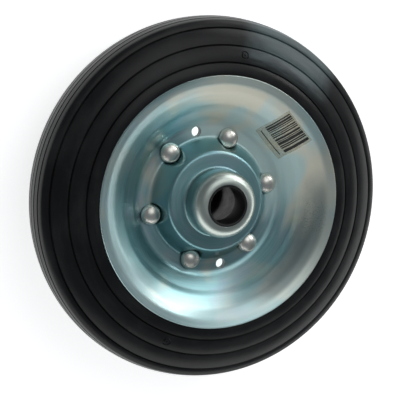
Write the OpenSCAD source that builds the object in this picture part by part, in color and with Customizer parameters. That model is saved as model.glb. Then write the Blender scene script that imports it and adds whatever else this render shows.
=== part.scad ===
// Jockey wheel: a solid rubber tyre held between two pressed steel discs,
// riveted face to face, with a plastic bush pressed into each end of the hub.
// The axle runs along Z, and the origin is the middle of the wheel.
// All lengths are in millimetres and all angles in degrees.

/* [Tyre] */
// Diameter over the middle of the tread
tyre_d = 200; // [190:1:220]
// Width of the tread between its two shoulders
tread_w = 23; // [18:0.5:28]
// How much lower the tread is at its edges than in its middle
tread_crown = 2; // [0.5:0.25:3]
// Radius of the rounded edge between tread and sidewall
tread_edge_r = 3; // [1:0.5:4]
// Number of grooves round the tread on each side of the middle one
tread_grooves = 2; // [0:1:2]
// Distance between neighbouring tread grooves
tread_groove_pitch = 4.2; // [3:0.1:4.5]
// How far the sidewall bulges beyond a straight line
side_bulge = 1.4; // [0:0.1:3]
// Number of grooves round each sidewall
side_grooves = 3; // [0:1:3]
// Distance between neighbouring sidewall grooves
side_groove_pitch = 9; // [6:0.5:10]
// Distance from the tread's edge to the outermost sidewall groove
side_groove_in = 4.2; // [4:0.1:6]
// Width of every groove in the rubber
groove_w = 1; // [0.6:0.1:1.4]
// Depth of every groove in the rubber
groove_depth = 0.7; // [0.3:0.1:1.2]
// How far each band of rubber swells between two sidewall grooves
band_swell = 0.3; // [0:0.05:0.6]
// How far the rubber reaches in past the outer edge of the flat riveted ring
tyre_tuck = 3.5; // [2:0.25:5]

/* [Vent marks on the tyre] */
// Diameter of the ring moulded round each vent
vent_d = 3.7; // [3:0.1:5]
// Width of the line that makes the ring
vent_line = 0.8; // [0.4:0.1:1]
// Places of the vents, as angles round the axle
vent_angles = [80, 247];

/* [Pressed discs] */
// Thickness of the steel sheet
sheet = 2; // [1.5:0.1:2.5]
// Diameter of the disc at its front edge
rim_d = 137.6; // [132:0.2:142]
// Height of the disc's edge above the middle of the wheel
rim_h = 21.5; // [19:0.1:24]
// Width of the lip that holds the tyre's bead
lip_w = 4.3; // [3:0.1:6]
// Rise across the lip
lip_rise = 1.7; // [0.5:0.1:2.5]
// How far the rubber stays below the front of the disc's edge
edge_stand = 0.8; // [0.3:0.1:1.5]
// Width of the flat ring outside the circle of rivets
ring_out_w = 8; // [7:0.1:9]
// Width of the flat ring inside the circle of rivets
ring_in_w = 1.2; // [0:0.1:2]
// Width of the steep slope outside the flat ring
slope_w = 6.5; // [5:0.1:8]
// Rise of the steep slope outside the flat ring
slope_rise = 8.3; // [6:0.1:10]
// Width of the gentle step above the steep slope
step_w = 4.5; // [3:0.1:6]
// Rise across the gentle step
step_rise = 1.7; // [0.5:0.1:3]
// Diameter of the drum round the hub, at its top
drum_d = 54.6; // [52:0.2:56]
// Height of the drum's top above the middle of the wheel
drum_h = 13; // [10:0.1:16]
// Rise of the drum's top from its edge to the foot of the nose
drum_cone = 0.8; // [0:0.1:2]

/* [Hub] */
// Length of the hub over both noses
hub_l = 58; // [50:0.5:66]
// Diameter of the bore for the axle
bore_d = 20; // [16:0.1:22]
// Wall of the bush inside the mouth of the nose
bush_wall = 1.2; // [0.8:0.1:2]
// Width of the flat ring at the end of the nose
nose_face_w = 2.2; // [0.8:0.1:2.8]
// Radius of the rounded shoulder of the nose
nose_r = 5; // [3.5:0.1:6]
// Length of the spacer tube between the bushes
tube_l = 34; // [32:0.5:38]
// Wall of the spacer tube
tube_wall = 2.5; // [1.5:0.1:3.5]
// How far each bush reaches into the spacer tube
spigot_l = 2; // [1:0.1:4]
// Chamfer at the mouth of each bush
bush_chamfer = 0.4; // [0.1:0.1:0.6]

/* [Rivets] */
// Number of rivets
rivet_count = 6; // [4:1:6]
// Diameter of the circle through the rivets
rivet_pcd = 70; // [68:0.5:73]
// Place of the first rivet, as an angle round the axle
rivet_angle = 10.9; // [0:0.1:60]
// Diameter of the rivet's shank
rivet_d = 6; // [4:0.1:8]
// Diameter of the rivet's head
rivet_head_d = 11.2; // [9.6:0.1:11.6]
// Height of the rivet's head
rivet_head_h = 4.6; // [3.6:0.1:5]
// Height of the straight flank at the foot of the head
rivet_flank = 0.8; // [0.3:0.1:1.2]
// Diameter of the button that the riveting tool leaves on the head
button_d = 8.4; // [7:0.1:8.8]
// Rise of the button from its edge to its middle
button_rise = 1.3; // [0.8:0.1:1.6]
// Height and width of the fine step round the button
button_step = 0.15; // [0.05:0.05:0.3]
// Gap between each head and the pocket pressed round it
pocket_gap = 0.5; // [0.3:0.05:0.8]

/* [Small holes] */
// Number of small holes through both discs
hole_count = 2; // [0:1:2]
// Diameter of each small hole
hole_d = 5.5; // [4:0.1:6]
// Distance of the small holes outside the circle of rivets
hole_out = 3; // [2:0.1:4]
// Place of the first small hole, as an angle round the axle
hole_angle = 101; // [95:0.5:107]

/* [Label] */
// Width of the label across the wheel's radius
label_w = 22; // [14:0.5:30]
// Length of the label along the wheel's radius, seen from the front
label_l = 18; // [12:0.5:19]
// Distance from the label to the inner edge of the lip
label_in = 2.3; // [1:0.1:4]
// Thickness of the label's film
label_t = 0.2; // [0.1:0.05:0.4]
// Place of the label, as an angle round the axle
label_angle = 40.2; // [35:0.1:45]

/* [Bend radii of the sheet, on its front face] */
// Inside corner between the nose and the drum's top
nose_foot_r = 2; // [1:0.1:3]
// Edge of the drum's top
drum_edge_r = 3; // [2.5:0.1:4]
// Foot of the drum
drum_foot_r = 1.2; // [0.6:0.1:1.6]
// Outer edge of the flat ring
ring_edge_r = 4; // [2:0.1:4.2]
// Top of the steep slope
slope_top_r = 6; // [3:0.1:7]
// Foot of the long slope up to the lip
step_top_r = 10; // [4:0.5:12]
// Inner edge of the lip
lip_edge_r = 7; // [3:0.5:10]

/* [Hidden] */
$fn = 96;

// Largest turn between two neighbouring points on a bend
bend_step = 10;
// Number of steps across one band of rubber
band_steps = 4;
// Number of steps over a rivet's button, and over the flank below it
head_steps = 6;
// Part of a straight stretch that its bends may take up
stretch_share = 0.98;
// Reach of a cut past the surface that it breaks
past = 1;

rubber = [0.11, 0.11, 0.11];
zinc = [0.56, 0.70, 0.72];
steel = [0.62, 0.62, 0.60];
nylon = [0.06, 0.06, 0.07];
film = [0.82, 0.80, 0.72];

tyre_r = tyre_d / 2;
half_tread = tread_w / 2;
shoulder = tyre_r - tread_crown;
rivet_r = rivet_pcd / 2;
pocket_r = rivet_head_d / 2 + pocket_gap;
mouth_r = bore_d / 2 + bush_wall;
nose_out = mouth_r + nose_face_w + nose_r;
nose_in = nose_out - sheet;
nose_h = hub_l / 2;
ring_r = rivet_r + ring_out_w;
slope_top = [ring_r + slope_w, sheet + slope_rise];
step_top = [slope_top.x + step_w, slope_top.y + step_rise];
lip_in = [rim_d / 2 - lip_w, rim_h - lip_rise];

// The front face of a disc as straight stretches, from the mouth of the nose
// out to the edge: each entry is a corner [radius, height] and its bend radius
press_line = [
    [[mouth_r, nose_h], 0],
    [[nose_out, nose_h], nose_r],
    [[nose_out, drum_h + drum_cone], nose_foot_r],
    [[drum_d / 2, drum_h], drum_edge_r],
    [[rivet_r - ring_in_w, sheet], drum_foot_r],
    [[ring_r, sheet], ring_edge_r],
    [slope_top, slope_top_r],
    [step_top, step_top_r],
    [lip_in, lip_edge_r],
    [[rim_d / 2, rim_h], 0]
];

// Compass heading from a to b, and the direction to the left of a heading
function heading(a, b) = atan2(b.y - a.y, b.x - a.x);
function left_of(h) = [-sin(h), cos(h)];

// Turn from heading h1 to heading h2, between -180 and 180
function turn(h1, h2) = ((h2 - h1 + 540) % 360) - 180;

// Largest radius, up to r, for which a bend of turn t fits the stretches a-b and b-c
// beside the bends ra at a and rc at c
function fitted(a, b, c, r, t, ra, rc) =
    let (room = min(norm(b - a) * r / (r + ra), norm(c - b) * r / (r + rc)))
    abs(t) < 0.01 ? r : min(r, stretch_share * room / tan(abs(t) / 2));

// Points of the bend at corner b, on the line that runs down to its right by d
function bend(a, b, c, r, d, ra = 0, rc = 0) =
    let (h = heading(a, b), t = turn(h, heading(b, c)), side = sign(t))
    let (fit = fitted(a, b, c, r, t, ra, rc))
    let (centre = b + side * left_of(h + t / 2) * fit / cos(t / 2))
    let (steps = max(1, ceil(abs(t) / bend_step)))
    side == 0 || fit + side * d <= 0
        ? [b - left_of(h + t / 2) * d / cos(t / 2)]
        : [for (i = [0 : steps])
            centre - side * (fit + side * d) * left_of(h + t * i / steps)];

// A bent line with its corners rounded, moved down to its right by d
function bent(line, d) =
    let (last = len(line) - 1)
    concat(
        [line[0][0] - d * left_of(heading(line[0][0], line[1][0]))],
        [for (i = [1 : last - 1]) each bend(
            line[i - 1][0], line[i][0], line[i + 1][0], line[i][1], d,
            line[i - 1][1], line[i + 1][1]
        )],
        [line[last][0] - d * left_of(heading(line[last - 1][0], line[last][0]))]
    );

function reversed(points) = [for (i = [len(points) - 1 : -1 : 0]) points[i]];
function mirrored(points) = [for (p = points) [p.x, -p.y]];

front_face = bent(press_line, 0);
back_face = bent(press_line, sheet);
// Where the rubber meets the cut edge of the disc
lip_heading = heading(lip_in, [rim_d / 2, rim_h]);
bead = [rim_d / 2, rim_h] - edge_stand * left_of(lip_heading);

// Height of the sidewall at radius r, before its grooves and bands
function side_h(r) =
    let (u = (r - bead.x) / (shoulder - bead.x))
    bead.y + u * (half_tread - bead.y) + 4 * side_bulge * u * (1 - u);

side_groove_at = [
    for (i = [side_grooves - 1 : -1 : 0])
        let (r = shoulder - side_groove_in - i * side_groove_pitch)
        if (r > bead.x + groove_w) r
];

// One band of sidewall from radius a to radius b, swelling between them
function band(a, b) = [
    for (i = [0 : band_steps])
        let (u = i / band_steps, r = a + u * (b - a))
        [r, side_h(r) + 4 * band_swell * u * (1 - u)]
];

band_from = concat([bead.x], [for (r = side_groove_at) r + groove_w / 2]);
band_to = concat([for (r = side_groove_at) r - groove_w / 2], [shoulder]);
sidewall = [
    for (i = [0 : len(band_from) - 1]) each concat(
        band(band_from[i], band_to[i]),
        i < len(side_groove_at)
            ? [[side_groove_at[i], side_h(side_groove_at[i]) - groove_depth]]
            : []
    )
];

// Radius of the tread at height h
function tread_at(h) = tyre_r - tread_crown * pow(h / half_tread, 2);

tread_groove_at = [for (i = [tread_grooves : -1 : -tread_grooves]) i * tread_groove_pitch];
tread = [
    for (h = tread_groove_at) each [
        [tread_at(h + groove_w / 2), h + groove_w / 2],
        [tread_at(h) - groove_depth, h],
        [tread_at(h - groove_w / 2), h - groove_w / 2]
    ]
];

// The shoulder's corner, rounded between the last band and the tread
shoulder_top = sidewall[len(sidewall) - 2];
shoulder_bend = bend(shoulder_top, [shoulder, half_tread], tread[0], tread_edge_r, 0);

// Half of the tyre's section: up the back of the disc, then down the sidewall
tyre_bore = ring_r + tyre_tuck;
half_section = concat(
    [[tyre_bore, lookup(tyre_bore, [for (p = back_face) if (p.x > rivet_r) p])]],
    [for (p = back_face) if (p.x > tyre_bore) p],
    [for (i = [0 : len(sidewall) - 2]) sidewall[i]],
    shoulder_bend
);

module round_rivets() {
    for (i = [0 : rivet_count - 1])
        rotate(rivet_angle + i * 360 / rivet_count)
            translate([rivet_r, 0, 0])
                children();
}

// A ring moulded into the sidewall, seen as a fine line round a small pip
module vent_mark() {
    r = shoulder - side_groove_in - 1.5 * side_groove_pitch;
    slope = atan(side_h(r + 0.5) - side_h(r - 0.5));
    translate([r, 0, side_h(r) + band_swell])
        rotate([0, -slope, 0]) {
            rotate_extrude()
                translate([vent_d / 2, 0])
                    circle(d = vent_line, $fn = 16);
            sphere(d = vent_line, $fn = 16);
        }
}

module tyre() {
    color(rubber)
    difference() {
        rotate_extrude()
            polygon(concat(half_section, tread, reversed(mirrored(half_section))));
        for (a = vent_angles)
            rotate(a) vent_mark();
    }
}

// A pressed disc facing up: one sheet, with a pocket in the drum at each rivet
module disc() {
    under_drum = [for (p = front_face) if (p.x < rivet_r) p];
    difference() {
        union() {
            rotate_extrude()
                polygon(concat(front_face, reversed(back_face)));
            intersection() {
                rotate_extrude()
                    polygon(concat([[mouth_r, 0]], under_drum, [[rivet_r, sheet], [rivet_r, 0]]));
                round_rivets()
                    cylinder(r = pocket_r + sheet, h = nose_h);
            }
        }
        round_rivets() {
            translate([0, 0, sheet])
                cylinder(r = pocket_r, h = nose_h);
            translate([0, 0, -past])
                cylinder(d = rivet_d, h = sheet + 2 * past);
        }
        if (hole_count > 0)
            for (i = [0 : hole_count - 1])
                rotate(hole_angle + i * 360 / hole_count)
                    translate([rivet_r + hole_out, 0, -past])
                        cylinder(d = hole_d, h = sheet + 2 * past);
    }
}

module front_disc() {
    color(zinc) disc();
}

// The rear disc is the same pressing, and its holes line up with the front one
module rear_disc() {
    color(zinc) mirror([0, 0, 1]) disc();
}

module hub_tube() {
    color(steel)
    difference() {
        cylinder(r = nose_in, h = tube_l, center = true);
        cylinder(r = nose_in - tube_wall, h = tube_l + 2 * past, center = true);
    }
}

// A bush facing up: it fills the nose from the spacer tube to the mouth
module bush() {
    shoulder_inside = [for (p = back_face) if (p.x <= nose_in && p.y > tube_l / 2) p];
    rotate_extrude()
        polygon(concat(
            [
                [bore_d / 2, tube_l / 2 - spigot_l],
                [bore_d / 2, nose_h - bush_chamfer],
                [bore_d / 2 + bush_chamfer, nose_h],
                [mouth_r, nose_h]
            ],
            shoulder_inside,
            [
                [nose_in, tube_l / 2],
                [nose_in - tube_wall, tube_l / 2],
                [nose_in - tube_wall, tube_l / 2 - spigot_l]
            ]
        ));
}

module front_bush() {
    color(nylon) bush();
}

module rear_bush() {
    color(nylon) mirror([0, 0, 1]) bush();
}

// A rivet's button as an arc, from its middle to its edge
button_r = button_d / 2;
button_arc_r = (pow(button_r, 2) + pow(button_rise, 2)) / (2 * button_rise);
button_turn = asin(button_r / button_arc_r);
button = [
    for (i = [0 : head_steps])
        let (a = button_turn * i / head_steps)
        [button_arc_r * sin(a), sheet + rivet_head_h - button_arc_r * (1 - cos(a))]
];

// The round flank below the button, as a part of an ellipse from its top to its foot
flank_turn = 60;
flank_in = (rivet_head_d / 2 - button_r - button_step) / (1 - cos(flank_turn));
flank_up = (rivet_head_h - button_rise + button_step - rivet_flank) / sin(flank_turn);
flank = [
    for (i = [0 : head_steps])
        let (a = flank_turn * (1 - i / head_steps))
        [rivet_head_d / 2 - flank_in * (1 - cos(a)), sheet + rivet_flank + flank_up * sin(a)]
];

// Half of a rivet's outline: the head and the shank down to the middle
rivet_half = concat(button, flank, [[rivet_head_d / 2, sheet], [rivet_d / 2, sheet]]);

module rivets() {
    color(steel)
    round_rivets()
        rotate_extrude()
            polygon(concat(rivet_half, reversed(mirrored(rivet_half))));
}

// A thin film that lies on the front disc's slope
module label() {
    inner = [for (p = front_face) if (p.x > rivet_r) p];
    outer = [for (p = bent(press_line, -label_t)) if (p.x > rivet_r) p];
    color(film)
    intersection() {
        rotate_extrude()
            polygon(concat(inner, reversed(outer)));
        rotate(label_angle)
            translate([lip_in.x - label_in - label_l, -label_w / 2, 0])
                cube([label_l, label_w, nose_h]);
    }
}

tyre();
front_disc();
rear_disc();
hub_tube();
front_bush();
rear_bush();
rivets();
label();
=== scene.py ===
"""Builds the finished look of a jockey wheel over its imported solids.

The wheel lies flat on one end of its hub, with its axle along Z. Lengths are in
metres. Every visible piece is made here from the same sizes as the solids, at the
place of the solid that it stands for.
"""

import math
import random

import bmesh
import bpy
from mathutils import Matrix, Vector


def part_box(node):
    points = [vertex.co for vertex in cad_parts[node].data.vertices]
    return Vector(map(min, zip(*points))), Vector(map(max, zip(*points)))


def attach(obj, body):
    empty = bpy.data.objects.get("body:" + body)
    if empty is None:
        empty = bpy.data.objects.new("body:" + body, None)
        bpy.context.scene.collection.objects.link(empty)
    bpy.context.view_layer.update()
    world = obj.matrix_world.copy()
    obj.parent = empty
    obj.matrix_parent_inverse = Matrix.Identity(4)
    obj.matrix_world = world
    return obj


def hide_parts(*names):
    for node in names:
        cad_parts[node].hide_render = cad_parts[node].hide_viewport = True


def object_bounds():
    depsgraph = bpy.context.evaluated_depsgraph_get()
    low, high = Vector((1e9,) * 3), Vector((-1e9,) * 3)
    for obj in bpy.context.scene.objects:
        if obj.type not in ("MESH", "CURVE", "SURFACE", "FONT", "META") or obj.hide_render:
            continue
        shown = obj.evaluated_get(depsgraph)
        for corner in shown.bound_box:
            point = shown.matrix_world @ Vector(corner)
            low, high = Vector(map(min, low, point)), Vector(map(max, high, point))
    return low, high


bl_info = {
    "name": "Jockey Wheel",
    "version": (1, 0, 0),
    "blender": (4, 5, 0),
    "location": "View3D > Sidebar > Wheel",
    "description": "Builds a riveted steel jockey wheel with a solid rubber tyre",
    "category": "Add Mesh",
}

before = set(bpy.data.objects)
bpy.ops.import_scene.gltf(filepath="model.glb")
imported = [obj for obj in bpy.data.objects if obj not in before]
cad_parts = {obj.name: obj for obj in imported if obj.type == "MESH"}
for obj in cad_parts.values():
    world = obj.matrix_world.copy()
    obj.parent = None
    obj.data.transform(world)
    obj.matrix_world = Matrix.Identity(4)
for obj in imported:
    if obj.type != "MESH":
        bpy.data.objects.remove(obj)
cad_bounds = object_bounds()

MM = 0.001
TYRE_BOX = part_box("tyre")
DISC_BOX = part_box("front_disc")
RIVET_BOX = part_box("rivets")


def length(name, description, millimetres, low=0.0):
    """A length that a user may change, kept in metres."""
    return bpy.props.FloatProperty(
        name=name, description=description, default=millimetres * MM,
        min=low * MM, unit="LENGTH", precision=5,
    )


def angle(name, description, degrees):
    """An angle that a user may change."""
    return bpy.props.FloatProperty(
        name=name, description=description, default=math.radians(degrees), unit="ROTATION",
    )


def colour(name, description, red, green, blue):
    """A colour that a user may change."""
    return bpy.props.FloatVectorProperty(
        name=name, description=description, default=(red, green, blue),
        size=3, min=0.0, max=1.0, subtype="COLOR",
    )


def number(name, description, value, low=0.0):
    """A plain number that a user may change."""
    return bpy.props.FloatProperty(name=name, description=description, default=value, min=low)


def count(name, description, value, low=1):
    """A count that a user may change."""
    return bpy.props.IntProperty(name=name, description=description, default=value, min=low)


class TyreSizes(bpy.types.PropertyGroup):
    """Sizes of the rubber tyre."""
    radius: length("Radius", "Radius over the middle of the tread", TYRE_BOX[1].x / MM)
    tread: length("Tread", "Width of the tread", 23)
    crown: length("Crown", "How much lower the tread is at its edges", 2)
    edge_round: length("Edge round", "Radius between tread and sidewall", 3)
    tread_pitch: length("Tread pitch", "Distance between tread grooves", 4.2)
    tread_grooves: count("Tread grooves", "Grooves on each side of the middle one", 2, 0)
    bulge: length("Bulge", "Bulge of the sidewall", 1.4)
    side_pitch: length("Side pitch", "Distance between sidewall grooves", 9)
    side_first: length("First groove", "Outermost sidewall groove, from the tread's edge", 4.2)
    side_grooves: count("Side grooves", "Grooves round each sidewall", 3, 0)
    groove: length("Groove", "Width of each groove", 1)
    groove_depth: length("Groove depth", "Depth of each groove", 0.7)
    swell: length("Swell", "Swelling of each band between two grooves", 0.3)
    tuck: length("Tuck", "Reach of the rubber in past the flat ring", 3.5)
    vent: length("Vent", "Diameter of the ring round each vent", 3.7)
    vent_line: length("Vent line", "Width of the vent's ring", 1.1)
    vent_a: angle("First vent", "Place of the first vent round the axle", 80)
    vent_b: angle("Second vent", "Place of the second vent round the axle", 247)
    steps: count("Steps", "Steps round the wheel", 288, 24)


class DiscSizes(bpy.types.PropertyGroup):
    """Sizes of the pressed steel discs."""
    sheet: length("Sheet", "Thickness of the steel", 2)
    rim: length("Rim", "Radius of the disc at its front edge", 68.8)
    rim_height: length("Rim height", "Height of the disc's edge", 21.5)
    lip: length("Lip", "Width of the lip", 4.3)
    lip_rise: length("Lip rise", "Rise across the lip", 1.7)
    stand: length("Stand", "How far the edge stands out of the rubber", 0.8)
    ring_out: length("Ring outside", "Flat ring outside the rivet circle", 7)
    ring_in: length("Ring inside", "Flat ring inside the rivet circle", 1.2)
    slope: length("Slope", "Width of the steep slope", 8.3)
    slope_rise: length("Slope rise", "Rise of the steep slope", 7.2)
    fold: length("Fold", "Width of the short fold above the steep slope", 2.7)
    fold_rise: length("Fold rise", "Rise across the short fold", 2.9)
    step: length("Step", "Width of the middle slope", 7)
    step_rise: length("Step rise", "Rise across the middle slope", 5.25)
    drum: length("Drum", "Radius of the drum's top", 27.3)
    drum_height: length("Drum height", "Height of the drum's top", 13)
    drum_cone: length("Drum cone", "Rise of the drum's top towards the nose", 0.8)
    nose_foot_bend: length("Nose foot bend", "Bend radius at the foot of the nose", 1.3)
    drum_edge_bend: length("Drum edge bend", "Bend radius at the edge of the drum's top", 3)
    drum_foot_bend: length("Drum foot bend", "Bend radius at the foot of the drum", 2.6)
    ring_bend: length("Ring bend", "Bend radius at the outer edge of the flat ring", 6.5)
    slope_bend: length("Slope bend", "Bend radius at the top of the steep slope", 8)
    fold_bend: length("Fold bend", "Bend radius at the top of the short fold", 10)
    step_bend: length("Step bend", "Bend radius at the top of the middle slope", 20)
    lip_bend: length("Lip bend", "Bend radius at the inner edge of the lip", 12)
    edge_round: length("Edge round", "Rounding of the cut edges of the sheet", 0.5)
    pocket_round: length("Pocket round", "Width of the bend round a rivet's pocket", 1.1)
    hole: length("Hole", "Radius of each small hole", 2.75)
    hole_out: length("Hole place", "Distance of the small holes outside the rivet circle", 3)
    hole_angle: angle("Hole angle", "Place of the first small hole", 101)


class HubSizes(bpy.types.PropertyGroup):
    """Sizes of the noses, bushes and spacer tube."""
    half: length("Half length", "Height of each nose above the wheel's middle", DISC_BOX[1].z / MM)
    bore: length("Bore", "Radius of the bore", 10)
    bush_wall: length("Bush wall", "Wall of the bush in the mouth of the nose", 1.2)
    face: length("Face", "Width of the flat ring at the nose's end", 0.4)
    nose_round: length("Nose round", "Radius of the nose's shoulder", 6.8)
    tube_half: length("Tube half", "Half of the spacer tube's length", 17)
    tube_wall: length("Tube wall", "Wall of the spacer tube", 2.5)
    spigot: length("Spigot", "Reach of each bush into the spacer tube", 2)
    bush_round: length("Bush round", "Rounding at the mouth of each bush", 0.35)


class RivetSizes(bpy.types.PropertyGroup):
    """Sizes of the rivets."""
    number: count("Number", "Number of rivets", 6)
    circle: length("Circle", "Radius of the circle through the rivets", 35)
    first: angle("First", "Place of the first rivet", 10.9)
    shank: length("Shank", "Radius of the shank", 3)
    head: length("Head", "Radius of the head", 5.6)
    height: length("Height", "Height of the head", 4.6)
    flank: length("Flank", "Height of the straight flank of the head", 0.8)
    button: length("Button", "Radius of the button that the tool leaves on the head", 4.2)
    button_rise: length("Button rise", "Rise of the button to its middle", 1.3)
    button_step: length("Button step", "Height and width of the step round the button", 0.15)
    gap: length("Gap", "Gap between the head and its pocket", 0.2)


class LabelSizes(bpy.types.PropertyGroup):
    """Sizes of the stuck-on label."""
    width: length("Width", "Width across the wheel's radius", 22)
    reach: length("Reach", "Length along the wheel's radius, seen from the front", 18)
    inset: length("Inset", "Distance to the inner edge of the lip", 2.3)
    film: length("Film", "Thickness of the film", 0.2)
    place: angle("Place", "Place round the axle", 40.2)
    bars: count("Bars", "Number of printed bars", 13)
    seed: count("Seed", "Seed of the bars' random widths", 5)


class Finishes(bpy.types.PropertyGroup):
    """Colours of the materials."""
    rubber: colour("Rubber", "Black moulded rubber", 0.008, 0.008, 0.0088)
    dust: colour("Dust", "Pale bloom on the rubber", 0.10, 0.105, 0.10)
    zinc: colour("Zinc", "Blue-green passivated zinc", 0.31, 0.55, 0.58)
    zinc_cream: colour("Cream", "Warm patches of the passivate", 0.66, 0.68, 0.58)
    zinc_lilac: colour("Lilac", "Violet patches of the passivate", 0.42, 0.54, 0.66)
    rivet: colour("Rivet", "Bright steel of the rivets", 0.90, 0.88, 0.82)
    tube: colour("Tube", "Plain steel of the spacer tube", 0.35, 0.35, 0.36)
    bush: colour("Bush", "Black nylon of the bushes", 0.012, 0.012, 0.013)
    film: colour("Film", "Cream backing of the label", 0.78, 0.72, 0.56)
    ink: colour("Ink", "Dark ink of the printed bars", 0.018, 0.018, 0.016)


class Studio(bpy.types.PropertyGroup):
    """Camera, floor and lights."""
    eye: bpy.props.FloatVectorProperty(
        name="Eye", description="Place of the camera", size=3,
        default=(-0.2742, 0.1214, 0.6637), subtype="TRANSLATION",
    )
    aim: bpy.props.FloatVectorProperty(
        name="Aim", description="Point that the camera looks at", size=3,
        default=(-0.0043, -0.0010, 0.0), subtype="TRANSLATION",
    )
    lens: number("Lens", "Focal length for a 36 mm wide sensor", 118.6, 1.0)
    floor: length("Floor", "Half of the floor's side", 2500)
    floor_colour: colour("Floor colour", "Pale floor", 0.90, 0.90, 0.90)
    floor_glow: number("Floor glow", "Light that shines up through the floor", 0.8)
    sky: colour("Sky", "Even light from all round", 0.12, 0.135, 0.145)
    key: number("Key", "Power of the main softbox in watts", 3.0)
    card: number("Card", "Power of the low white card in watts", 4.2)
    side: number("Side", "Power of the low card at the side in watts", 1.8)
    top: number("Top", "Power of the soft light high up in watts", 1.7)
    small: number("Small", "Power of the small light that glints on the rubber", 0.7)


class WheelSettings(bpy.types.PropertyGroup):
    """All settings of the wheel."""
    tyre: bpy.props.PointerProperty(type=TyreSizes)
    disc: bpy.props.PointerProperty(type=DiscSizes)
    hub: bpy.props.PointerProperty(type=HubSizes)
    rivet: bpy.props.PointerProperty(type=RivetSizes)
    label: bpy.props.PointerProperty(type=LabelSizes)
    finish: bpy.props.PointerProperty(type=Finishes)
    studio: bpy.props.PointerProperty(type=Studio)


# Outlines

def heading(a, b):
    return math.atan2(b[1] - a[1], b[0] - a[0])


def left_of(h):
    return Vector((-math.sin(h), math.cos(h)))


def bend(a, b, c, radius, down, step=math.radians(6)):
    """Points of a rounded corner at b on the line that runs down to the right of a-b-c."""
    h = heading(a, b)
    turn = (heading(b, c) - h + math.pi) % math.tau - math.pi
    side = math.copysign(1, turn)
    centre = Vector(b) + side * left_of(h + turn / 2) * radius / math.cos(turn / 2)
    steps = max(1, math.ceil(abs(turn) / step))
    return [
        centre - side * (radius + side * down) * left_of(h + turn * i / steps)
        for i in range(steps + 1)
    ]


def bent(line, down=0.0):
    """A line of [corner, radius] pairs with its corners rounded, moved down to its right."""
    points = [Vector(line[0][0]) - down * left_of(heading(line[0][0], line[1][0]))]
    for (a, _), (b, radius), (c, _) in zip(line, line[1:], line[2:]):
        points += bend(a, b, c, radius, down)
    points.append(Vector(line[-1][0]) - down * left_of(heading(line[-2][0], line[-1][0])))
    return points


def filled_in(points, longest):
    """The same line with its long stretches cut into short ones."""
    out = [points[0]]
    for a, b in zip(points, points[1:]):
        steps = max(1, math.ceil((b - a).length / longest))
        out += [a.lerp(b, i / steps) for i in range(1, steps + 1)]
    return out


def lookup(x, points):
    """Height at x on a line whose points run towards larger x."""
    for a, b in zip(points, points[1:]):
        if a.x <= x <= b.x and b.x > a.x:
            return a.y + (b.y - a.y) * (x - a.x) / (b.x - a.x)
    return points[-1].y


def press_line(w):
    """The front face of a disc as corners and bend radii, from its mouth to its edge."""
    d, hub, rivet = w.disc, w.hub, w.rivet
    mouth = hub.bore + hub.bush_wall
    nose = mouth + hub.face + hub.nose_round
    ring = rivet.circle + d.ring_out
    slope = (ring + d.slope, d.sheet + d.slope_rise)
    fold = (slope[0] + d.fold, slope[1] + d.fold_rise)
    step = (fold[0] + d.step, fold[1] + d.step_rise)
    return [
        ((mouth, hub.half), 0),
        ((nose, hub.half), hub.nose_round),
        ((nose, d.drum_height + d.drum_cone), d.nose_foot_bend),
        ((d.drum, d.drum_height), d.drum_edge_bend),
        ((rivet.circle - d.ring_in, d.sheet), d.drum_foot_bend),
        ((ring, d.sheet), d.ring_bend),
        (slope, d.slope_bend),
        (fold, d.fold_bend),
        (step, d.step_bend),
        ((d.rim - d.lip, d.rim_height - d.lip_rise), d.lip_bend),
        ((d.rim, d.rim_height), 0),
    ]


# Meshes

def new_object(name, mesh):
    piece = bpy.data.objects.new(name, mesh)
    bpy.context.scene.collection.objects.link(piece)
    return piece


def mesh_of(name, points, edges=(), faces=()):
    mesh = bpy.data.meshes.new(name)
    mesh.from_pydata([tuple(p) for p in points], list(edges), list(faces))
    mesh.update()
    return mesh


def frozen(piece):
    """Turns a piece with modifiers into one plain mesh."""
    graph = bpy.context.evaluated_depsgraph_get()
    mesh = bpy.data.meshes.new_from_object(piece.evaluated_get(graph))
    piece.modifiers.clear()
    piece.data = mesh
    return piece


def tidy_normals(piece, sharp=math.radians(40)):
    """Points all faces outwards, shades them smooth and keeps real edges sharp."""
    mesh = piece.data
    bm = bmesh.new()
    bm.from_mesh(mesh)
    bmesh.ops.remove_doubles(bm, verts=bm.verts, dist=0.002 * MM)
    bmesh.ops.recalc_face_normals(bm, faces=bm.faces)
    bm.to_mesh(mesh)
    bm.free()
    mesh.shade_smooth()
    mesh.set_sharp_from_angle(angle=sharp)
    return piece


def cut_with(piece, cutters):
    """Takes the cutters' shapes out of the piece and removes them."""
    for cutter in cutters:
        cut = piece.modifiers.new("cut", "BOOLEAN")
        cut.operation = "DIFFERENCE"
        cut.solver = "EXACT"
        cut.object = cutter
    frozen(piece)
    for cutter in cutters:
        bpy.data.objects.remove(cutter)
    return piece


def rod(name, x, y, radius, low, high, steps=64):
    """An upright cylinder used for cutting."""
    bm = bmesh.new()
    place = Matrix.Translation((x, y, (low + high) / 2))
    bmesh.ops.create_cone(
        bm, cap_ends=True, segments=steps, radius1=radius, radius2=radius,
        depth=high - low, matrix=place,
    )
    mesh = bpy.data.meshes.new(name)
    bm.to_mesh(mesh)
    bm.free()
    return new_object(name, mesh)


# Node trees

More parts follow.
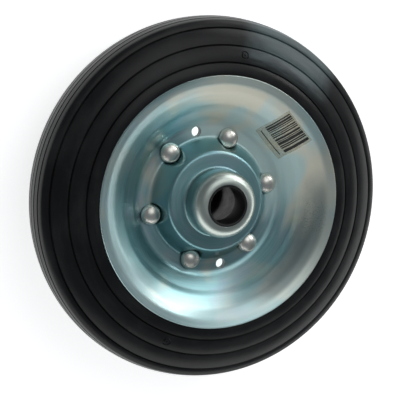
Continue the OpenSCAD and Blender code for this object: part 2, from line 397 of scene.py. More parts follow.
class Wire:
    """A socket whose arithmetic adds Math nodes."""

    def __init__(self, tree, socket):
        self.tree = tree
        self.socket = socket

    def math(self, operation, *others):
        return self.tree.node("ShaderNodeMath", {"operation": operation}, self, *others)

    def __add__(self, other):
        return self.math("ADD", other)

    def __sub__(self, other):
        return self.math("SUBTRACT", other)

    def __rsub__(self, other):
        return self.tree.node("ShaderNodeMath", {"operation": "SUBTRACT"}, other, self)

    def __mul__(self, other):
        return self.math("MULTIPLY", other)

    def __truediv__(self, other):
        return self.math("DIVIDE", other)

    def __pow__(self, other):
        return self.math("POWER", other)

    __radd__ = __add__
    __rmul__ = __mul__


class Tree:
    """Adds nodes to a node tree."""

    def __init__(self, nodes, links):
        self.nodes = nodes
        self.links = links

    def node(self, kind, settings=None, *values, out=0, **named):
        """Adds one node: its settings first, then its sockets in order or by name."""
        made = self.nodes.new(kind)
        for key, value in (settings or {}).items():
            if key == "stops":
                set_stops(made.color_ramp, value)
            else:
                setattr(made, key, value)
        for key, value in [*enumerate(values), *named.items()]:
            if value is None:
                continue
            spot = made.inputs[key if isinstance(key, int) else key.replace("_", " ")]
            if isinstance(value, Wire):
                self.links.new(value.socket, spot)
            else:
                spot.default_value = value
        return Wire(self, made.outputs[out]) if made.outputs else None

    def blend(self, factor, a, b, mode="MIX"):
        """A mix of two colours."""
        settings = {"data_type": "RGBA", "blend_type": mode, "clamp_factor": True}
        mix = self.node("ShaderNodeMix", settings, factor, out=2)
        for socket, value in ((mix.socket.node.inputs[6], a), (mix.socket.node.inputs[7], b)):
            if isinstance(value, Wire):
                self.links.new(value.socket, socket)
            else:
                socket.default_value = (*value, 1.0)
        return mix

    def ramp(self, value, low, high):
        """0 below low, 1 above high, smooth between."""
        return self.node(
            "ShaderNodeMapRange", {"interpolation_type": "SMOOTHSTEP"}, value, low, high, 0.0, 1.0,
        )

    def noise(self, place, scale, detail=3.0, rough=0.5, distortion=0.0):
        return self.node(
            "ShaderNodeTexNoise", None, Vector=place, Scale=scale, Detail=detail,
            Roughness=rough, Distortion=distortion,
        )


def set_stops(ramp, stops):
    while len(ramp.elements) < len(stops):
        ramp.elements.new(0.5)
    for element, (place, value) in zip(ramp.elements, stops):
        element.position = place
        element.color = (*value, 1.0)


def finish(name, build):
    """A material whose node tree is filled by build(tree, shader)."""
    material = bpy.data.materials.new(name)
    material.use_nodes = True
    nodes = material.node_tree.nodes
    shader = nodes["Principled BSDF"]
    tree = Tree(nodes, material.node_tree.links)
    build(tree, shader)
    return material


def feed(tree, shader, **sockets):
    """Sets or links sockets of the shader by name."""
    for key, value in sockets.items():
        spot = shader.inputs[key.replace("_", " ")]
        if isinstance(value, Wire):
            tree.links.new(value.socket, spot)
        elif spot.type == "RGBA":
            spot.default_value = (*value, 1.0)
        else:
            spot.default_value = value


def round_axle(tree):
    """Object coordinates, the radius from the axle, and the direction round it."""
    place = tree.node("ShaderNodeTexCoord", None, out=3)
    split = tree.node("ShaderNodeSeparateXYZ", None, place).socket.node
    x, y, z = (Wire(tree, s) for s in split.outputs)
    radius = (x * x + y * y) ** 0.5
    return place, radius, x / radius, y / radius, z


def zinc_finish(name, w, seed):
    """Bright zinc with a blue passivate, spun round the axle, with painted sheen, highlights and shade."""
    colours, hole = w.finish, w.disc.hole / MM
    out = (w.rivet.circle + w.disc.hole_out) / MM

    def build(tree, shader):
        place, radius, across, along, z = round_axle(tree)
        spun = tree.node(
            "ShaderNodeCombineXYZ", None, radius * 900.0 + z * 500.0, across * 1.6, along * 1.6 + seed,
        )
        rings = tree.noise(spun, 1.0, 4.0, 0.6)
        broad_spun = tree.node(
            "ShaderNodeCombineXYZ", None, radius * 160.0 + z * 90.0, across * 1.2, along * 1.2 + seed,
        )
        broad = tree.noise(broad_spun, 1.0, 2.0, 0.5)
        patches = tree.noise(place, 26.0, 2.0, 0.5, 0.4)
        clouds = tree.noise(place, 60.0, 4.0, 0.6, 0.2)
        cream = tree.ramp(patches + (broad - 0.5) * 0.25, 0.52, 0.70)
        lilac = tree.ramp(clouds + (broad - 0.5) * 0.3, 0.50, 0.72)
        tone = tree.blend(cream, colours.zinc, colours.zinc_cream)
        tone = tree.blend(lilac * 0.55, tone, colours.zinc_lilac)
        tone = tree.blend(tree.ramp(rings, 0.35, 0.7) * 0.16, tone, (0.93, 0.96, 0.95))
        outside = tree.ramp(radius * 1000.0, 31.0, 36.0)
        outer = tree.ramp(radius * 1000.0 + (clouds - 0.5) * 8.0, 50.0, 60.0)
        # Painted sheen: the dish towards the upper right is painted pale and made less metallic and a little
        # rougher, standing in for the light it reflects there.
        haze_and_painted_sheen = tree.ramp(across * 0.66 + along * 0.75 + (broad - 0.5) * 0.5, 0.25, 0.85) * outside
        # Painted shade: the outer dish on the side towards -30 degrees round the axle is painted darker; it is also
        # made a little rougher.
        dull = tree.ramp(across * 0.87 - along * 0.50 + (patches - 0.5) * 0.5, 0.72, 1.0) * outer
        lip = tree.ramp(radius * 1000.0, 62.5, 65.5)
        dull = dull * (1.0 - lip)
        haze_and_painted_sheen = haze_and_painted_sheen * (1.0 - lip * 0.6)
        # Pale cyan and cream tones of the painted sheen.
        pale = tree.blend(tree.ramp(patches + outer * 0.08, 0.50, 0.64), (0.74, 0.92, 0.90), (0.96, 0.92, 0.76))
        # Painted highlight tint: the outer dish is painted paler and greyer so that the highlights falling there
        # read whiter.
        tone = tree.blend(outer * 0.50, tone, (0.56, 0.67, 0.66))
        tone = tree.blend(haze_and_painted_sheen * 0.92, tone, pale)
        tone = tree.blend(dull * 0.65, tone, (0.20, 0.25, 0.25))
        # Painted shade: the drum and nose inside the rivet ring are painted darker and a deeper blue-green.
        tone = tree.blend((1.0 - outside) * 0.40, tone, (0.14, 0.32, 0.35))
        # Painted highlight: the nose is painted a pale cream, standing in for the light on its rounded shoulder.
        crown = 1.0 - tree.ramp(radius * 1000.0 + (clouds - 0.5) * 2.0, 16.5, 20.0)
        tone = tree.blend(crown * 0.7, tone, (0.70, 0.70, 0.62))
        rough = 0.38 - outer * 0.05 + (rings - 0.5) * 0.14 + (clouds - 0.5) * 0.10 + haze_and_painted_sheen * 0.12 + dull * 0.08
        # Painted shade: a thin band at the walls of the two small holes is painted near black and made not metallic.
        toward = across * math.cos(w.disc.hole_angle) + along * math.sin(w.disc.hole_angle)
        mm = radius * 1000.0
        apart = mm * mm - mm * toward.math("ABSOLUTE") * (2.0 * out) + out * out
        wall = 1.0 - tree.ramp(apart, (hole + 0.02) ** 2, (hole + 0.10) ** 2)
        tone = tree.blend(wall, tone, (0.02, 0.024, 0.025))
        scratch = tree.noise(
            tree.node("ShaderNodeCombineXYZ", None, radius * 1500.0, along * 70.0, seed), 1.0, 2.0, 0.6,
        )
        near = tree.ramp(across * 0.976 + along * -0.216, 0.975, 0.998)
        near = near * (1.0 - tree.ramp((mm - 59.5).math("ABSOLUTE"), 3.0, 7.0))
        scuff = near * tree.ramp(scratch, 0.54, 0.62)
        tone = tree.blend(scuff * 0.45, tone, (0.16, 0.20, 0.20))
        rough = rough + scuff * 0.15
        fine = tree.noise(place, 2200.0, 2.0, 0.6)
        height = rings * 0.8 + fine * 0.2
        bump = tree.node(
            "ShaderNodeBump", None, Strength=0.10, Distance=0.00006, Height=height,
        )
        feed(
            tree, shader, Base_Color=tone, Metallic=(1.0 - haze_and_painted_sheen * 0.75) * (1.0 - wall), Roughness=rough, Normal=bump,
            Anisotropic=0.4,
        )
    return finish(name, build)


def rubber_finish(name, colours):
    """Moulded black rubber with a faint pale bloom and a painted sheen on one side."""
    def build(tree, shader):
        place, radius, across, along, z = round_axle(tree)
        spun = tree.node(
            "ShaderNodeCombineXYZ", None, radius * 300.0 + z * 300.0, across * 3.0, along * 3.0,
        )
        flow = tree.noise(spun, 1.0, 3.0, 0.6)
        bloom = tree.noise(place, 35.0, 4.0, 0.6, 0.3)
        specks = tree.noise(place, 900.0, 2.0, 0.5)
        grain = tree.noise(place, 1500.0, 3.0, 0.6)
        dusty = tree.ramp(bloom * 0.6 + flow * 0.4, 0.42, 0.72) * 0.14
        tone = tree.blend(dusty, colours.rubber, colours.dust)
        tone = tree.blend(tree.ramp(specks, 0.72, 0.80) * 0.35, tone, colours.dust)
        # Painted sheen: a cyan-grey patch on the sidewall towards the upper right stands in for the light that the
        # rubber reflects there.
        painted_rubber_sheen = tree.ramp(across * 0.50 + along * 0.87 + (bloom - 0.5) * 0.08, 0.93, 0.99)
        painted_rubber_sheen = painted_rubber_sheen * tree.ramp(radius * 1000.0 + (flow - 0.5) * 12.0, 74.0, 86.0)
        tone = tree.blend(painted_rubber_sheen * (0.35 + flow), tone, (0.11, 0.15, 0.155))
        rough = 0.33 + (bloom - 0.5) * 0.12 + (flow - 0.5) * 0.10
        height = grain * 0.5 + flow * 0.5
        bump = tree.node(
            "ShaderNodeBump", None, Strength=0.35, Distance=0.00012, Height=height,
        )
        feed(
            tree, shader, Base_Color=tone, Roughness=rough, Normal=bump, Specular_IOR_Level=0.27,
        )
    return finish(name, build)


def rivet_finish(name, colours):
    """Bright formed steel, turned by the riveting tool, with painted shade at the foot of each head."""
    def build(tree, shader):
        place = tree.node("ShaderNodeTexCoord", None, out=3)
        marks = tree.noise(place, 700.0, 3.0, 0.6, 0.5)
        broad = tree.noise(place, 160.0, 2.0, 0.5)
        tone = tree.blend(tree.ramp(broad, 0.4, 0.7) * 0.5, colours.rivet, (0.76, 0.72, 0.64))
        z = Wire(tree, tree.node("ShaderNodeSeparateXYZ", None, place).socket.node.outputs[2])
        # Painted shade: the flank of each head next to the sheet is painted near black.
        foot = 1.0 - tree.ramp(z.math("ABSOLUTE") * 1000.0, 2.9, 3.5)
        tone = tree.blend(foot * 0.85, tone, (0.10, 0.10, 0.095))
        rough = 0.36 + (marks - 0.5) * 0.18
        bump = tree.node("ShaderNodeBump", None, Strength=0.18, Distance=0.00008, Height=marks)
        feed(tree, shader, Base_Color=tone, Metallic=1.0, Roughness=rough, Normal=bump)
    return finish(name, build)


def plain_finish(name, base, roughness, metallic, grain):
    """A dull material with a little mottling and fine grain."""
    def build(tree, shader):
        place = tree.node("ShaderNodeTexCoord", None, out=3)
        mottle = tree.noise(place, 220.0, 3.0, 0.6)
        fine = tree.noise(place, grain, 2.0, 0.6)
        darker = tuple(part * 0.7 for part in base)
        tone = tree.blend(tree.ramp(mottle, 0.35, 0.7), tuple(base), darker)
        bump = tree.node("ShaderNodeBump", None, Strength=0.2, Distance=0.00005, Height=fine)
        feed(
            tree, shader, Base_Color=tone, Metallic=metallic,
            Roughness=roughness + (mottle - 0.5) * 0.15, Normal=bump,
        )
    return finish(name, build)


def floor_finish(name, studio):
    """Pale acrylic with light shining up through it."""
    def build(tree, shader):
        feed(
            tree, shader, Base_Color=studio.floor_colour, Roughness=0.8,
            Emission_Color=studio.floor_colour, Emission_Strength=studio.floor_glow,
        )
    return finish(name, build)


def film_finish(name, colours):
    """Clear film that lets the steel show through."""
    def build(tree, shader):
        place = tree.node("ShaderNodeTexCoord", None, out=3)
        haze_and_painted_sheen = tree.noise(place, 150.0, 3.0, 0.6)
        feed(
            tree, shader, Base_Color=colours.film, Roughness=0.28 + (haze_and_painted_sheen - 0.5) * 0.2,
            Alpha=0.22 + (haze_and_painted_sheen - 0.5) * 0.3, Coat_Weight=0.2,
        )
    return finish(name, build)


def geometry_tree(name, inputs):
    """An empty geometry tree with its inputs: returns the tree, its group and its inputs."""
    group = bpy.data.node_groups.new(name, "GeometryNodeTree")
    group.interface.new_socket("Geometry", in_out="INPUT", socket_type="NodeSocketGeometry")
    for label, kind in inputs.items():
        group.interface.new_socket(label, in_out="INPUT", socket_type=kind)
    group.interface.new_socket("Geometry", in_out="OUTPUT", socket_type="NodeSocketGeometry")
    tree = Tree(group.nodes, group.links)
    entry = group.nodes.new("NodeGroupInput")
    return tree, group, {s.name: Wire(tree, s) for s in entry.outputs if s.name}


def end_tree(tree, group, shape, material):
    """Ends a geometry tree in Realize Instances and Set Material."""
    real = tree.node("GeometryNodeRealizeInstances", None, shape)
    painted = tree.node("GeometryNodeSetMaterial", None, real, Material=material)
    tree.node("NodeGroupOutput", None, painted)
    return group


def run_tree(piece, group, **values):
    """Applies a geometry tree to a piece, with its inputs given by name."""
    modifier = piece.modifiers.new(group.name, "NODES")
    modifier.node_group = group
    for item in group.interface.items_tree:
        key = item.name.replace(" ", "_")
        if item.in_out == "INPUT" and key in values:
            modifier[item.identifier] = values[key]
    return frozen(piece)


def turning_tree():
    """Turns a closed section round the axle."""
    tree, group, given = geometry_tree("Turned Section", {
        "Path Radius": "NodeSocketFloat", "Steps": "NodeSocketInt", "Finish": "NodeSocketMaterial",
    })
    section = tree.node("GeometryNodeMeshToCurve", None, given["Geometry"])
    path = tree.node(
        "GeometryNodeCurvePrimitiveCircle", None, Resolution=given["Steps"], Radius=given["Path Radius"],
    )
    skin = tree.node("GeometryNodeCurveToMesh", None, path, section)
    return end_tree(tree, group, skin, given["Finish"])


def circle_tree():
    """Repeats a piece on a circle round the axle."""
    tree, group, given = geometry_tree("Round The Circle", {
        "Count": "NodeSocketInt", "Circle": "NodeSocketFloat", "First": "NodeSocketFloat",
        "Finish": "NodeSocketMaterial",
    })
    points = tree.node(
        "GeometryNodeMeshCircle", None, Vertices=given["Count"], Radius=given["Circle"],
    )
    spread = tree.node("GeometryNodeInstanceOnPoints", None, points, Instance=given["Geometry"])
    turn = tree.node("ShaderNodeCombineXYZ", None, 0.0, 0.0, given["First"])
    turned = tree.node("GeometryNodeTransform", None, spread, Rotation=turn)
    return end_tree(tree, group, turned, given["Finish"])


def turned(name, section, steps, material):
    """A piece made by turning a closed section of (radius, height) points."""
    middle = sum(p[0] for p in section) / len(section)
    area = sum(a[0] * b[1] - b[0] * a[1] for a, b in zip(section, [*section[1:], section[0]]))
    ordered = section if area < 0 else section[::-1]
    points = [(p[0] - middle, -p[1], 0.0) for p in ordered]
    edges = [(i, (i + 1) % len(points)) for i in range(len(points))]
    piece = new_object(name, mesh_of(name, points, edges))
    group = bpy.data.node_groups.get("Turned Section") or turning_tree()
    run_tree(piece, group, Path_Radius=middle, Steps=steps, Finish=material)
    return tidy_normals(piece)


def dress(piece, node, material=None):
    """Puts a finished piece in the place of its solid."""
    if material:
        piece.data.materials.clear()
        piece.data.materials.append(material)
    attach(piece, "root")
    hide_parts(node)


# Tyre

def tyre_section(w):
    """The closed section of the tyre, as (radius, height) points."""
    t, d = w.tyre, w.disc
    line = press_line(w)
    back = bent(line, d.sheet)
    lip_heading = heading(line[-2][0], line[-1][0])
    bead = Vector(line[-1][0]) - d.stand * left_of(lip_heading)
    shoulder = t.radius - t.crown
    half = t.tread / 2

    def side(r):
        u = (r - bead.x) / (shoulder - bead.x)
        return bead.y + u * (half - bead.y) + 4 * t.bulge * u * (1 - u)

    grooves = [shoulder - t.side_first - i * t.side_pitch for i in reversed(range(t.side_grooves))]
    starts = [bead.x, *(g + t.groove / 2 for g in grooves)]
    ends = [*(g - t.groove / 2 for g in grooves), shoulder]
    wall = []
    for i, (a, b) in enumerate(zip(starts, ends)):
        for k in range(9):
            u = k / 8
            r = a + u * (b - a)
            swell = 4 * t.swell * u * (1 - u)
            wall.append(Vector((r, side(r) + swell)))
        if i < len(grooves):
            wall += groove(Vector((b, side(b))), Vector((starts[i + 1], side(starts[i + 1]))), t)

    def tread(h):
        return t.radius - t.crown * (h / half) ** 2

    top = []
    for i in range(t.tread_grooves, -t.tread_grooves - 1, -1):
        h = i * t.tread_pitch
        a = Vector((tread(h + t.groove / 2), h + t.groove / 2))
        b = Vector((tread(h - t.groove / 2), h - t.groove / 2))
        top += [a, *groove(a, b, t), b]
    corner = bend(wall[-2], wall[-1], top[0], t.edge_round, 0)
    inner = w.rivet.circle + d.ring_out + t.tuck
    start = Vector((inner, lookup(inner, [p for p in back if p.x > w.rivet.circle])))
    half_section = [start, *(p for p in back if p.x > inner), *wall[:-1], *corner]
    below = [Vector((p.x, -p.y)) for p in reversed(half_section)]
    return half_section + filled_in(top, 2 * MM) + below


def groove(a, b, sizes):
    """Points of a rounded groove between two edges."""
    across = b - a
    down = Vector((across.y, -across.x)).normalized() * sizes.groove_depth
    return [a + across * u + down * math.sin(math.pi * u) ** 0.8 for u in (0.12, 0.3, 0.5, 0.7, 0.88)]


def vent_cutters(w):
    """Rings and pips that are sunk into the front sidewall."""
    t, d = w.tyre, w.disc
    line = press_line(w)
    radius = t.radius - t.crown - t.side_first - 1.5 * t.side_pitch
    section = [p for p in tyre_section(w) if p.y > 0 and p.x > d.rim + d.stand]
    height = lookup(radius, section)
    slope = math.atan2(lookup(radius + MM, section) - lookup(radius - MM, section), 2 * MM)
    made = []
    for turn in (t.vent_a, t.vent_b):
        place = (
            Matrix.Rotation(turn, 4, "Z")
            @ Matrix.Translation((radius, 0, height))
            @ Matrix.Rotation(-slope, 4, "Y")
        )
        bm = bmesh.new()
        steps, around = 40, 12
        ring = [[
            bm.verts.new((
                (t.vent / 2 + t.vent_line / 2 * math.cos(b)) * math.cos(a),
                (t.vent / 2 + t.vent_line / 2 * math.cos(b)) * math.sin(a),
                t.vent_line / 2 * math.sin(b),
            ))
            for b in (math.tau * j / around for j in range(around))
        ] for a in (math.tau * i / steps for i in range(steps))]
        for i in range(steps):
            for j in range(around):
                k, m = (i + 1) % steps, (j + 1) % around
                bm.faces.new((ring[i][j], ring[k][j], ring[k][m], ring[i][m]))
        bmesh.ops.create_icosphere(bm, subdivisions=2, radius=t.vent_line / 2)
        bmesh.ops.transform(bm, matrix=place, verts=bm.verts)
        bmesh.ops.recalc_face_normals(bm, faces=bm.faces)
        mesh = bpy.data.meshes.new("vent_cut")
        bm.to_mesh(mesh)
        bm.free()
        made.append(new_object("vent_cut", mesh))
    return made


class WHEEL_OT_tyre(bpy.types.Operator):
    """Make the solid rubber tyre."""
    bl_idname = "wheel.tyre"
    bl_label = "Tyre"

    def execute(self, context):
        w = context.scene.wheel
        material = rubber_finish("Black rubber", w.finish)
        piece = turned("rubber_tyre", tyre_section(w), w.tyre.steps, material)
        cut_with(piece, vent_cutters(w))
        tidy_normals(piece)
        dress(piece, "tyre", material)
        return {"FINISHED"}


# Discs

def disc_section(w):
    """The closed section of a disc: (radius, height, is the point on the back)."""
    line = press_line(w)
    d = w.disc
    front = filled_in(bent(line), 0.9 * MM)
    back = filled_in(bent(line, d.sheet), 1.6 * MM)
    edge = d.edge_round
    front[0].x += edge * 0.6
    a, b = front[-1], back[-1]
    outward = (a - front[-2]).normalized()
    across = (b - a).normalized()
    rim = [
        a - outward * edge * 0.3 + across * edge * 0.1,
        a - outward * edge * 0.05 + across * edge * 0.5,
        a + across * edge * 1.2,
        b - across * edge,
    ]
    front[-1] = a - outward * edge
    mouth = Vector((line[0][0][0], line[0][0][1] - edge * 0.6))
    points = [(p.x, p.y, False) for p in (mouth, *front, *rim)]
    return points + [(p.x, p.y, True) for p in reversed(back)]


def disc_turns(w):
    """Angles round the disc, closer together where a rivet's pocket is."""
    rivet = w.rivet
    reach = math.asin((rivet.head + rivet.gap + w.disc.pocket_round + 2 * MM) / rivet.circle)
    turns = []
    for i in range(rivet.number):
        middle = rivet.first + math.tau * i / rivet.number
        following = middle + math.tau / rivet.number
        near, far = 44, 10
        turns += [middle - reach + 2 * reach * k / near for k in range(near)]
        turns += [
            middle + reach + (following - middle - 2 * reach) * k / far for k in range(far)
        ]
    return turns


def smooth_step(low, high, value):
    u = min(1.0, max(0.0, (value - low) / (high - low)))
    return u * u * (3 - 2 * u)


def disc_mesh(name, w, facing):
    """One pressed disc as a closed mesh; facing is 1 for the front and -1 for the rear."""
    section = disc_section(w)
    turns = disc_turns(w)
    rivet, d = w.rivet, w.disc
    centres = [
        Vector((math.cos(a), math.sin(a))) * rivet.circle
        for a in (rivet.first + math.tau * i / rivet.number for i in range(rivet.number))
    ]
    pocket = rivet.head + rivet.gap
    points = []
    for turn in turns:
        direction = Vector((math.cos(turn), math.sin(turn)))
        nearest = min(centres, key=lambda c: (c - direction * rivet.circle).length)
        for radius, height, on_back in section:
            if radius < rivet.circle + MM and radius > rivet.circle - 12 * MM:
                away = (direction * radius - nearest).length
                floor = 0.0 if on_back else d.sheet
                start = pocket + (d.sheet * 0.6 if on_back else -0.15 * MM)
                height = floor + (height - floor) * smooth_step(start, start + d.pocket_round, away)
            points.append((direction.x * radius, direction.y * radius, height * facing))
    rows, columns = len(section), len(turns)
    faces = []
    for i in range(columns):
        k = (i + 1) % columns
        for j in range(rows):
            m = (j + 1) % rows
            faces.append((i * rows + j, k * rows + j, k * rows + m, i * rows + m))
    piece = new_object(name, mesh_of(name, points, (), faces))
    return tidy_normals(piece)


class WHEEL_OT_discs(bpy.types.Operator):
    """Press the two steel discs."""
    bl_idname = "wheel.discs"
    bl_label = "Pressed discs"

    def execute(self, context):
        w = context.scene.wheel
        d, rivet = w.disc, w.rivet
        for node, facing, seed in (("front_disc", 1, 0.0), ("rear_disc", -1, 7.0)):
            material = zinc_finish(node.replace("_", " ") + " zinc", w, seed)
            piece = disc_mesh("pressed_" + node, w, facing)
            low, high = sorted((-MM * facing, 4 * MM * facing))
            cutters = []
            for i in range(2):
                turn = d.hole_angle + math.pi * i
                away = rivet.circle + d.hole_out
                cutters.append(rod(
                    "hole_cut", away * math.cos(turn), away * math.sin(turn), d.hole, low, high,
                ))
            for i in range(rivet.number):
                turn = rivet.first + math.tau * i / rivet.number
                cutters.append(rod(
                    "rivet_cut", rivet.circle * math.cos(turn), rivet.circle * math.sin(turn),
                    rivet.shank, low, high, 32,
                ))
            cut_with(piece, cutters)
            tidy_normals(piece)
            dress(piece, node, material)
        return {"FINISHED"}


# Hub

def bush_section(w):
    """The closed section of a bush that faces up."""
    hub, d = w.hub, w.disc
    back = bent(press_line(w), d.sheet)
    mouth = hub.bore + hub.bush_wall
    inside = mouth + hub.face + hub.nose_round - d.sheet
    r = hub.bush_round
    shoulder = [p for p in back if p.x <= inside + 1e-7 and p.y > hub.tube_half]
    return [
        Vector((hub.bore, hub.tube_half - hub.spigot)),
        Vector((hub.bore, hub.half - r)),
        Vector((hub.bore + r * 0.3, hub.half - r * 0.3)),
        Vector((hub.bore + r, hub.half)),
        Vector((mouth, hub.half)),
        *shoulder,
        Vector((inside, hub.tube_half)),
        Vector((inside - hub.tube_wall, hub.tube_half)),
        Vector((inside - hub.tube_wall, hub.tube_half - hub.spigot)),
    ]


class WHEEL_OT_hub(bpy.types.Operator):
    """Make the bushes and the spacer tube."""
    bl_idname = "wheel.hub"
    bl_label = "Hub"

    def execute(self, context):
        w = context.scene.wheel
        hub = w.hub
        nylon = plain_finish("Black nylon", w.finish.bush, 0.42, 0.0, 900.0)
        steel = plain_finish("Drawn steel", w.finish.tube, 0.5, 0.6, 1200.0)
        for node, facing in (("front_bush", 1), ("rear_bush", -1)):
            section = [Vector((p.x, p.y * facing)) for p in bush_section(w)]
            piece = turned("nylon_" + node, section, 128, nylon)
            dress(piece, node, nylon)
        inside = hub.bore + hub.bush_wall + hub.face + hub.nose_round - w.disc.sheet
        bore = inside - hub.tube_wall
        ends = (-hub.tube_half, hub.tube_half)
        section = [(inside, ends[0]), (inside, ends[1]), (bore, ends[1]), (bore, ends[0])]
        dress(turned("spacer_tube", section, 128, steel), "hub_tube", steel)
        return {"FINISHED"}


# Rivets

def rivet_section(w):
    """Half of a rivet's outline, from the top of one head to the top of the other."""
    rivet, sheet = w.rivet, w.disc.sheet
    top = sheet + rivet.height
    arc = (rivet.button ** 2 + rivet.button_rise ** 2) / (2 * rivet.button_rise)
    reach = math.asin(rivet.button / arc)
    steps = 10
    head = [Vector((0.004 * MM, top))]
    for i in range(1, steps + 1):
        a = reach * i / steps
        head.append(Vector((arc * math.sin(a), top - arc * (1 - math.cos(a)))))
    lowest = math.radians(60)
    inward = (rivet.head - rivet.button - rivet.button_step) / (1 - math.cos(lowest))
    rise = rivet.height - rivet.button_rise + rivet.button_step - rivet.flank
    for i in range(steps + 1):
        a = lowest * (1 - i / steps)
        head.append(Vector((
            rivet.head - inward * (1 - math.cos(a)),
            sheet + rivet.flank + rise * math.sin(a) / math.sin(lowest),
        )))
    head += [
        Vector((rivet.head - 0.06 * MM, sheet + rivet.flank * 0.6)),
        Vector((rivet.head - 0.22 * MM, sheet + rivet.flank * 0.3)),
        Vector((rivet.head - 0.5 * MM, sheet)),
        Vector((rivet.shank, sheet)),
    ]
    return head + [Vector((p.x, -p.y)) for p in reversed(head)]


class WHEEL_OT_rivets(bpy.types.Operator):
    """Set the ring of rivets."""
    bl_idname = "wheel.rivets"
    bl_label = "Rivets"

    def execute(self, context):
        w = context.scene.wheel
        rivet = w.rivet
        steel = rivet_finish("Bright rivet steel", w.finish)
        piece = turned("rivet_set", rivet_section(w), 48, steel)
        bm = bmesh.new()
        bm.from_mesh(piece.data)
        open_edges = [e for e in bm.edges if e.is_boundary]
        if open_edges:
            bmesh.ops.holes_fill(bm, edges=open_edges)
        bm.to_mesh(piece.data)
        bm.free()
        group = bpy.data.node_groups.get("Round The Circle") or circle_tree()
        run_tree(
            piece, group, Count=rivet.number, Circle=rivet.circle, First=rivet.first, Finish=steel,
        )
        tidy_normals(piece)
        dress(piece, "rivets", steel)
        return {"FINISHED"}


# Label

def film_patch(name, w, spans, lift, thick, rows=36):
    """Strips of film on the disc's slope; a span is (low, high) across and in and out."""
    line = [p for p in bent(press_line(w)) if p.x > w.rivet.circle]
    label = w.label
    direction = Vector((math.cos(label.place), math.sin(label.place)))
    sideways = Vector((-direction.y, direction.x))
    bm = bmesh.new()
    for (low, high), (near, far) in spans:
        columns = max(1, round((high - low) / MM))
        grid = []
        for level in (lift + thick, lift):
            sheet = []
            for i in range(rows + 1):
                row = []
                for j in range(columns + 1):
                    spot = direction * (near + (far - near) * i / rows)
                    spot = spot + sideways * (low + (high - low) * j / columns)
                    radius = spot.length
                    run = 0.05 * MM
                    slope = math.atan2(
                        lookup(radius + run, line) - lookup(radius - run, line), 2 * run,
                    )
                    outward = spot.normalized() * -math.sin(slope) * level
                    height = lookup(radius, line) + math.cos(slope) * level
                    row.append(bm.verts.new((spot.x + outward.x, spot.y + outward.y, height)))
                sheet.append(row)
            grid.append(sheet)
        for sheet, flip in zip(grid, (False, True)):
            for i in range(rows):
                for j in range(columns):
                    corners = [sheet[i][j], sheet[i + 1][j], sheet[i + 1][j + 1], sheet[i][j + 1]]
                    bm.faces.new(corners[::-1] if flip else corners)
        top, bottom = grid
        border = (
            [(i, 0) for i in range(rows)] + [(rows, j) for j in range(columns)]
            + [(i, columns) for i in range(rows, 0, -1)] + [(0, j) for j in range(columns, 0, -1)]
        )
        for (i, j), (k, m) in zip(border, [*border[1:], border[0]]):
            bm.faces.new((top[i][j], bottom[i][j], bottom[k][m], top[k][m]))
    bmesh.ops.recalc_face_normals(bm, faces=bm.faces)
    mesh = bpy.data.meshes.new(name)
    bm.to_mesh(mesh)
    bm.free()
    return tidy_normals(new_object(name, mesh))


def bar_spans(w):
    """Random generic bars that run along the radius, and a thin line below them."""
    label = w.label
    draw = random.Random(label.seed)
    widths = [draw.choice((0.3, 0.5, 0.5, 0.8, 1.1)) for _ in range(label.bars)]
    gaps = [draw.choice((0.3, 0.4, 0.4, 0.7)) for _ in range(label.bars)]
    total = sum(widths) + sum(gaps[:-1])
    scale = (label.width - 3 * MM) / total
    far = w.disc.rim - w.disc.lip - label.inset - 0.8 * MM
    near = far - label.reach + 5.2 * MM
    at = -(label.width - 3 * MM) / 2
    spans = []
    for width, gap in zip(widths, gaps):
        spans.append(((at, at + width * scale), (near, far)))
        at += (width + gap) * scale
    under = near - 2.6 * MM
    spans.append(((-label.width / 2 + 2 * MM, label.width / 2 - 2 * MM), (under, under + 0.35 * MM)))
    return spans


class WHEEL_OT_label(bpy.types.Operator):
    """Stick the printed film on the front disc."""
    bl_idname = "wheel.label"
    bl_label = "Label"

    def execute(self, context):
        w = context.scene.wheel
        label = w.label
        far = w.disc.rim - w.disc.lip - label.inset
        whole = [((-label.width / 2, label.width / 2), (far - label.reach, far))]
        film = film_patch("label_film", w, whole, 0.02 * MM, label.film - 0.08 * MM)
        clear = film_finish("Label film", w.finish)
        dress(film, "label", clear)
        ink = plain_finish("Printed bars", w.finish.ink, 0.45, 0.0, 700.0)
        print_lift = label.film - 0.05 * MM
        bars = film_patch("label_print", w, bar_spans(w), print_lift, 0.03 * MM, 20)
        dress(bars, "label", ink)
        return {"FINISHED"}


# Stage

def softbox(name, place, size, power, tint=(1.0, 1.0, 1.0)):
    """A square light that faces the wheel."""
    data = bpy.data.lights.new(name, "AREA")
    data.shape = "RECTANGLE"
    data.size, data.size_y = size
    data.energy = power
    data.color = tint
    lamp = new_object(name, data)
    lamp.location = place
    lamp.rotation_euler = (-Vector(place)).to_track_quat("-Z", "Y").to_euler()
    return lamp


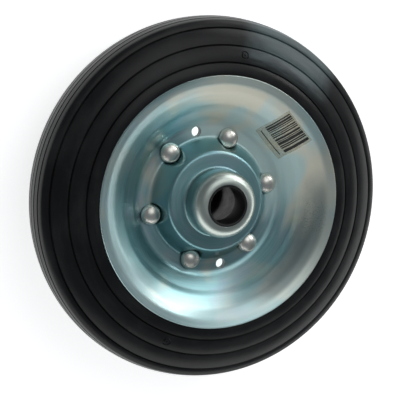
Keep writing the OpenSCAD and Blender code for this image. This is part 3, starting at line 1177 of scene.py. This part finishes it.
class WHEEL_OT_stage(bpy.types.Operator):
    """Set up the floor, the lights and the camera."""
    bl_idname = "wheel.stage"
    bl_label = "Stage"

    def execute(self, context):
        scene = context.scene
        studio = scene.wheel.studio
        low = cad_bounds[0][2]
        side = studio.floor
        corners = [(-side, -side, low), (side, -side, low), (side, side, low), (-side, side, low)]
        floor = new_object("floor", mesh_of("floor", corners, (), [(0, 1, 2, 3)]))
        floor.data.materials.append(floor_finish("Pale floor", studio))
        softbox("key softbox", (0.63, 0.68, 0.31), (0.72, 0.5), studio.key)
        softbox("low card", (-0.26, -0.85, 0.29), (1.9, 0.52), studio.card)
        softbox("side card", (0.84, -0.39, 0.16), (1.3, 0.26), studio.side)
        softbox("top softbox", (0.16, 0.52, 0.98), (0.7, 0.7), studio.top)
        softbox("small softbox", (0.715, 0.43, 0.55), (0.16, 0.12), studio.small)
        world = bpy.data.worlds.new("studio air")
        world.use_nodes = True
        world.node_tree.nodes["Background"].inputs["Color"].default_value = (*studio.sky, 1.0)
        scene.world = world
        scene.view_settings.view_transform = "Standard"
        data = bpy.data.cameras.new("camera")
        data.lens = studio.lens
        data.clip_start = 0.01
        camera = new_object("camera", data)
        eye, aim = Vector(studio.eye), Vector(studio.aim)
        back = (eye - aim).normalized()
        right = Vector((0, 1, 0)).cross(back).normalized()
        up = back.cross(right)
        turn = Matrix((right, up, back)).transposed()
        camera.matrix_world = Matrix.Translation(eye) @ turn.to_4x4()
        scene.camera = camera
        return {"FINISHED"}


class WHEEL_PT_panel(bpy.types.Panel):
    """Lists the pieces of the wheel."""
    bl_label = "Jockey Wheel"
    bl_idname = "WHEEL_PT_panel"
    bl_space_type = "VIEW_3D"
    bl_region_type = "UI"
    bl_category = "Wheel"

    def draw(self, context):
        for operator in OPERATORS:
            self.layout.operator(operator.bl_idname)


OPERATORS = (
    WHEEL_OT_stage, WHEEL_OT_tyre, WHEEL_OT_discs, WHEEL_OT_hub, WHEEL_OT_rivets, WHEEL_OT_label,
)
SETTINGS = (
    TyreSizes, DiscSizes, HubSizes, RivetSizes, LabelSizes, Finishes, Studio, WheelSettings,
)


def register():
    for made in (*SETTINGS, *OPERATORS, WHEEL_PT_panel):
        bpy.utils.register_class(made)
    bpy.types.Scene.wheel = bpy.props.PointerProperty(type=WheelSettings)


def unregister():
    del bpy.types.Scene.wheel
    for made in reversed((*SETTINGS, *OPERATORS, WHEEL_PT_panel)):
        bpy.utils.unregister_class(made)


def main():
    register()
    bpy.ops.wheel.stage()
    bpy.ops.wheel.tyre()
    bpy.ops.wheel.discs()
    bpy.ops.wheel.hub()
    bpy.ops.wheel.rivets()
    bpy.ops.wheel.label()


if __name__ == "__main__":
    main()
